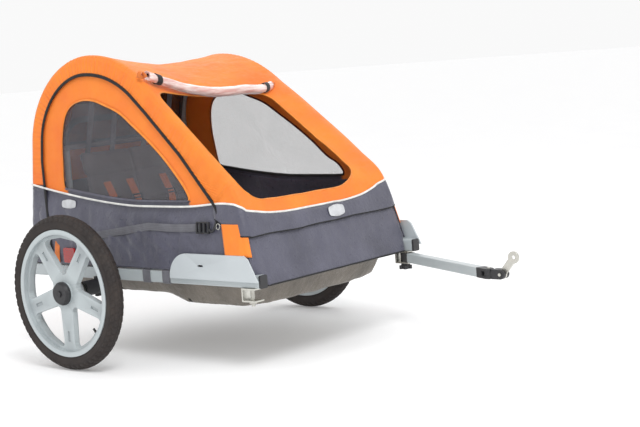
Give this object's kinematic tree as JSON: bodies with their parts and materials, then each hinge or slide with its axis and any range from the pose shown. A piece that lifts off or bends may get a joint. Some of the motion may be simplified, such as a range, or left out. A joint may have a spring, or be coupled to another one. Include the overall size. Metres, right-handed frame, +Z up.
{
  "type": "child bicycle trailer",
  "caption": "Covered child trailer towed by a bicycle, with folding side arches, moulded wheels, harnessed bench seat and a swinging tow arm.",
  "frame": {"origin": "on the ground, below the middle of the whole trailer's box", "axes": "-Y is the way the trailer is towed, +X its left side, +Z up; the side rails are level"},
  "size_m": [0.982, 1.341, 0.7977],
  "materials": {
    "frame_grey": "smooth silver-grey powder coat",
    "black_plastic": "black moulded plastic, fine grain",
    "black_steel": "black painted steel",
    "zinc": "zinc-plated steel",
    "guard_grey": "light grey moulded plastic",
    "wheel_grey": "light grey moulded plastic, satin",
    "tyre": "worn dusty rubber",
    "valve": "black rubber",
    "reflector_red": "red prismatic reflector",
    "cloth_orange": "orange coated polyester, plain weave",
    "cloth_grey": "blue-grey coated polyester, plain weave",
    "cloth_floor": "brown-grey coated polyester",
    "cloth_seat": "grey padded polyester",
    "mesh": "grey see-through net",
    "elastic": "black elastic binding",
    "piping_white": "white reflective piping",
    "vinyl": "clear vinyl, rolled and creased",
    "webbing": "grey woven webbing",
    "patch": "plain reflective patch"
  },
  "bodies": {
    "chassis": {"side_rails": "frame_grey", "rail_caps": "black_plastic", "cross_tubes": "frame_grey", "axle_carriers": "black_plastic", "axle_plates": "zinc", "stub_axles": "zinc", "arch_brackets_right": "black_steel", "arch_brackets_left": "black_steel", "arch_pins": "zinc", "hoop_brackets": "black_steel", "hoop_pins": "zinc", "side_guards": "guard_grey", "tow_brackets": "zinc", "tow_bolts": "zinc", "floor_tub": "cloth_floor", "rail_loops": "webbing", "rear_reflectors": "reflector_red", "top_cover": "cloth_orange", "front_panel": "cloth_grey", "rear_panel": "cloth_grey", "lower_walls": "cloth_grey", "window_frames": "cloth_orange", "window_meshes": "mesh", "hem_cords": "elastic", "piping": "piping_white", "shield_roll": "vinyl", "roll_bands": "elastic", "roll_tabs": "cloth_orange", "seat_cushion": "cloth_seat", "seat_back": "cloth_seat", "head_straps": "webbing", "harness_straps": "cloth_orange", "harness_buckles": "black_plastic", "tension_straps": "webbing", "strap_locks": "black_plastic", "reflective_patches": "patch"},
    "right_arch": {"arch_right": "frame_grey"},
    "left_arch": {"arch_left": "frame_grey"},
    "seat_frame": {"seat_hoop": "frame_grey"},
    "right_wheel": {"tyre_right": "tyre", "wheel_right": "wheel_grey", "valve_right": "valve", "hub_cap_right": "black_plastic"},
    "right_button": {"release_button_right": "black_plastic"},
    "left_wheel": {"tyre_left": "tyre", "wheel_left": "wheel_grey", "valve_left": "valve", "hub_cap_left": "black_plastic"},
    "left_button": {"release_button_left": "black_plastic"},
    "tow_arm": {"arm_tube": "frame_grey", "arm_boss": "black_plastic", "arm_nose": "black_plastic", "nose_pin": "zinc"},
    "arm_knob": {"arm_knob": "black_plastic"},
    "coupler": {"coupler": "black_plastic", "coupler_pin": "zinc"},
    "hitch": {"hitch_plate": "zinc"}
  },
  "joints": [
    {"name": "side_fold", "type": "hinge", "parent": "chassis", "child": "right_arch", "pos_m": [-0.298, 0.3195, 0.312], "axis": [0, 1, 0], "range_deg": [0, 83.5], "deforming": ["top_cover", "front_panel", "rear_panel", "lower_walls", "window_frames", "window_meshes", "hem_cords", "piping", "shield_roll", "roll_bands", "roll_tabs", "seat_cushion", "seat_back", "head_straps", "harness_straps", "harness_buckles", "tension_straps", "strap_locks", "reflective_patches"]},
    {"name": "left_fold", "type": "hinge", "parent": "chassis", "child": "left_arch", "pos_m": [0.298, 0.3195, 0.264], "axis": [0, -1, 0], "range_deg": [0, 83.5]},
    {"name": "seat_fold", "type": "hinge", "parent": "chassis", "child": "seat_frame", "pos_m": [0, 0.5845, 0.232], "axis": [1, 0, 0], "range_deg": [0, 89.93]},
    {"name": "right_wheel_spin", "type": "hinge", "parent": "chassis", "child": "right_wheel", "pos_m": [-0.46, 0.3195, 0.2], "axis": [1, 0, 0], "continuous": true},
    {"name": "left_wheel_spin", "type": "hinge", "parent": "chassis", "child": "left_wheel", "pos_m": [0.46, 0.3195, 0.2], "axis": [1, 0, 0], "continuous": true},
    {"name": "right_release", "type": "slide", "parent": "right_wheel", "child": "right_button", "axis": [1, 0, 0], "range_m": [0, 0.003], "stiffness_N_per_m": 400, "springref_m": -0.002},
    {"name": "left_release", "type": "slide", "parent": "left_wheel", "child": "left_button", "axis": [-1, 0, 0], "range_m": [0, 0.003], "stiffness_N_per_m": 400, "springref_m": -0.002},
    {"name": "tow_arm_swing", "type": "hinge", "parent": "chassis", "child": "tow_arm", "pos_m": [0.303, -0.1805, 0.193], "axis": [0, 0, -1], "range_deg": [0, 60]},
    {"name": "arm_knob_turn", "type": "hinge", "parent": "chassis", "child": "arm_knob", "pos_m": [0.303, -0.1805, 0.17], "axis": [0, 0, 1], "range_deg": [0, 360]},
    {"name": "coupler_yaw", "type": "hinge", "parent": "tow_arm", "child": "coupler", "pos_m": [0.12, -0.5805, 0.193], "axis": [0, 0, 1], "range_deg": [-40, 40], "stiffness_Nm_per_rad": 3},
    {"name": "hitch_pitch", "type": "hinge", "parent": "coupler", "child": "hitch", "pos_m": [0.12, -0.6205, 0.193], "axis": [1, 0, 0], "range_deg": [-25, 25], "stiffness_Nm_per_rad": 3}
  ],
  "couplings": [
    {"joint": "left_fold", "follows": "side_fold", "ratio": 1},
    {"joint": "seat_fold", "follows": "side_fold", "ratio": 1.077}
  ]
}
